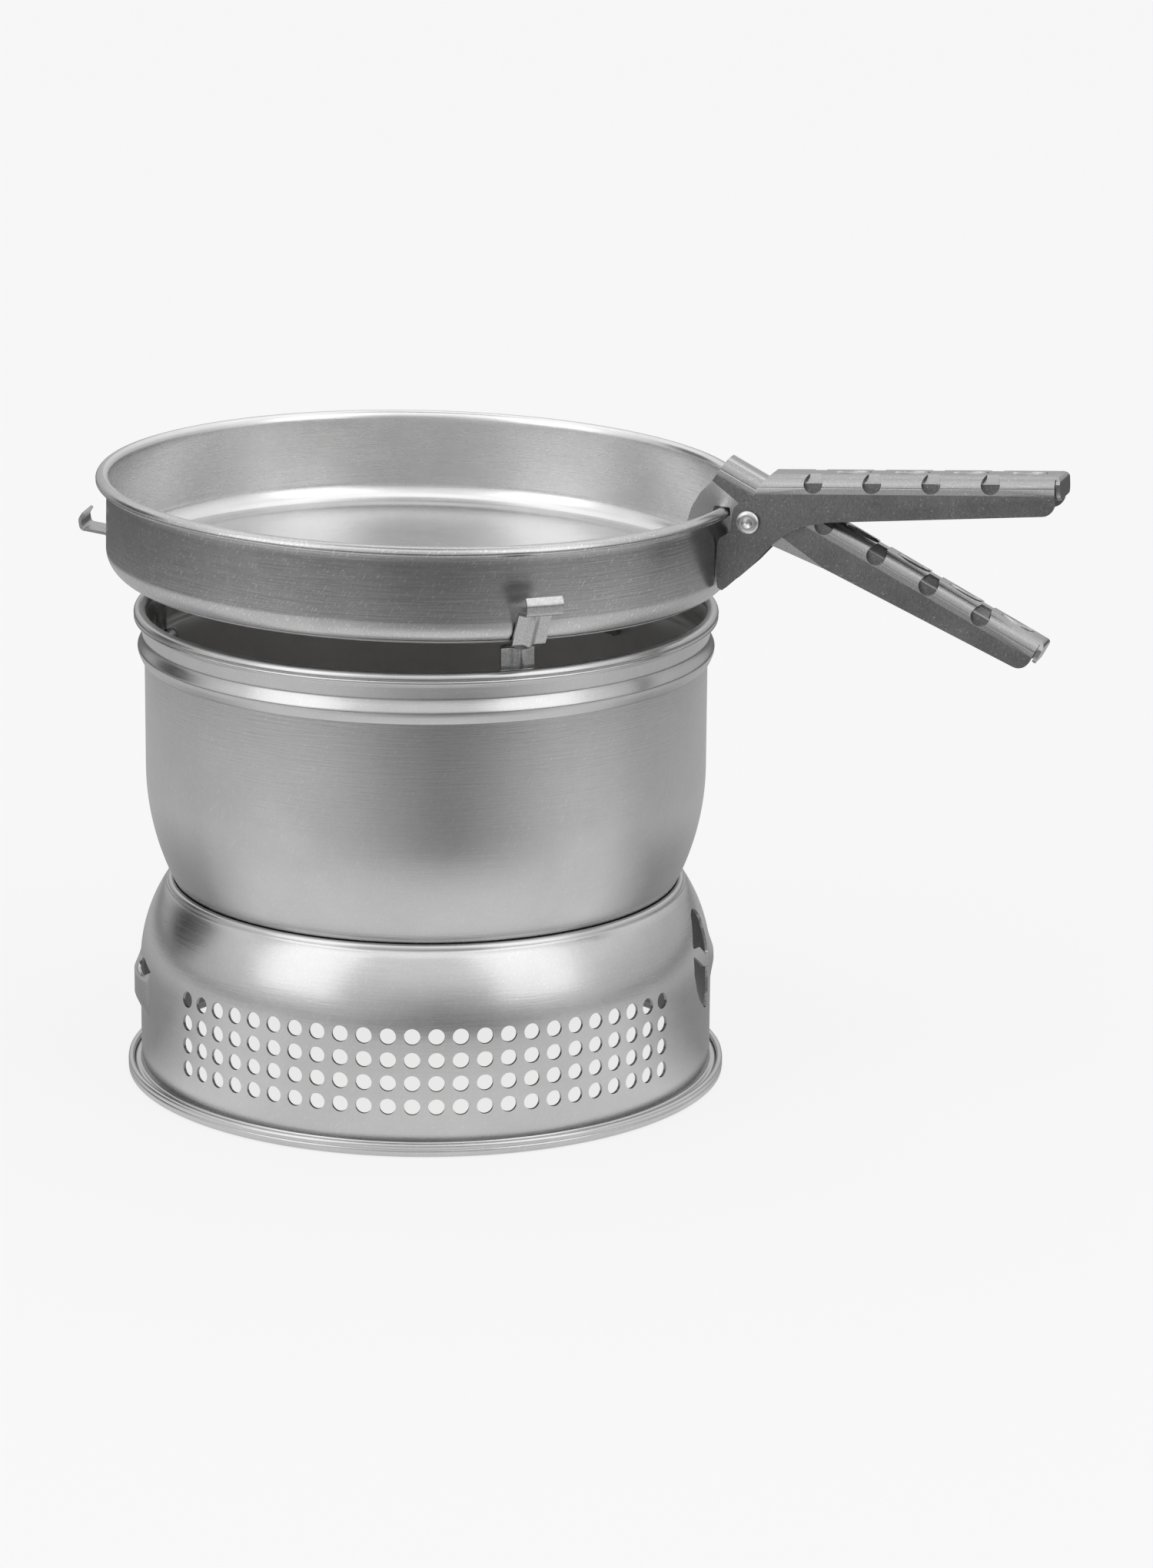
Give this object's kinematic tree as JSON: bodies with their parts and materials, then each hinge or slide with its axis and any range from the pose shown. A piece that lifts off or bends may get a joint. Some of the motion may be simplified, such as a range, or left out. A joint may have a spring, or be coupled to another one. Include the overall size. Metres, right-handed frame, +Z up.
{
  "type": "camp stove cook set",
  "caption": "Camp stove set: perforated windshield base with a spirit burner, upper windshield with folding pot supports, frying pan and a riveted gripper handle.",
  "frame": {"origin": "middle of the whole set's footprint on the ground, which is the bottom centre of its bounding box", "axes": "+Z up, -Y towards the perforated front of the base, +X to the right, on the gripper's side; the stove's own axis stands at x -46.0 mm, y 2.8 mm"},
  "size_m": [0.3302, 0.2257, 0.2247],
  "materials": {
    "satin_aluminium": "satin, spun, with fine marks round the axis",
    "plated_steel": "plated sheet, dull with bright worn edges",
    "rivet_steel": "bright, domed",
    "spun_brass": "satin, spun",
    "wick_cotton": "matt, woven"
  },
  "bodies": {
    "lower_windshield": {"lower_windshield": "satin_aluminium", "burner_shelf": "satin_aluminium"},
    "upper_windshield": {"upper_windshield": "satin_aluminium", "support_bracket_1": "plated_steel", "support_bracket_2": "plated_steel", "support_bracket_3": "plated_steel", "support_pin_1": "rivet_steel", "support_pin_2": "rivet_steel", "support_pin_3": "rivet_steel"},
    "pot_support_1": {"pot_support_1": "plated_steel"},
    "pot_support_2": {"pot_support_2": "plated_steel"},
    "pot_support_3": {"pot_support_3": "plated_steel"},
    "frying_pan": {"frying_pan": "satin_aluminium", "gripper_upper_handle": "plated_steel", "gripper_rivet": "rivet_steel"},
    "gripper_lower_handle": {"gripper_lower_handle": "plated_steel"},
    "burner": {"burner_body": "spun_brass", "burner_inner_cup": "spun_brass", "burner_wick": "wick_cotton"},
    "simmer_ring": {"simmer_ring": "spun_brass", "flap_rivet": "spun_brass"},
    "simmer_flap": {"simmer_flap": "spun_brass"}
  },
  "joints": [
    {"name": "upper_windshield_lift", "type": "slide", "parent": "lower_windshield", "child": "upper_windshield", "axis": [0, 0, 1], "range_m": [0, 0.06]},
    {"name": "pan_lift", "type": "slide", "parent": "upper_windshield", "child": "frying_pan", "axis": [0, 0, 1], "range_m": [0, 0.24]},
    {"name": "support_fold_1", "type": "hinge", "parent": "upper_windshield", "child": "pot_support_1", "pos_m": [-0.01671, -0.08325, 0.1482], "axis": [-0.9466, -0.3223, 0], "range_deg": [0, 150]},
    {"name": "support_fold_2", "type": "hinge", "parent": "upper_windshield", "child": "pot_support_2", "pos_m": [0.01388, 0.07119, 0.1482], "axis": [0.7524, -0.6587, 0], "range_deg": [0, 150]},
    {"name": "support_fold_3", "type": "hinge", "parent": "upper_windshield", "child": "pot_support_3", "pos_m": [-0.13517, 0.02046, 0.1462], "axis": [0.1942, 0.981, 0], "range_deg": [0, 150]},
    {"name": "gripper_open", "type": "hinge", "parent": "frying_pan", "child": "gripper_lower_handle", "pos_m": [0.0632, -0.03423, 0.2025], "axis": [0.3156, 0.9489, 0], "range_deg": [0, 15]},
    {"name": "burner_lift", "type": "slide", "parent": "lower_windshield", "child": "burner", "axis": [0, 0, 1], "range_m": [0, 0.045]},
    {"name": "simmer_ring_lift", "type": "slide", "parent": "burner", "child": "simmer_ring", "axis": [0, 0, 1], "range_m": [0, 0.02]},
    {"name": "simmer_flap_swing", "type": "hinge", "parent": "simmer_ring", "child": "simmer_flap", "pos_m": [-0.022, 0.0028, 0.0747], "axis": [0, 0, 1], "range_deg": [0, 60]}
  ],
  "couplings": [
    {"joint": "support_fold_1", "follows": "pan_lift", "rad_per_m": 10.9},
    {"joint": "support_fold_2", "follows": "pan_lift", "rad_per_m": 10.9},
    {"joint": "support_fold_3", "follows": "pan_lift", "rad_per_m": 10.9}
  ]
}
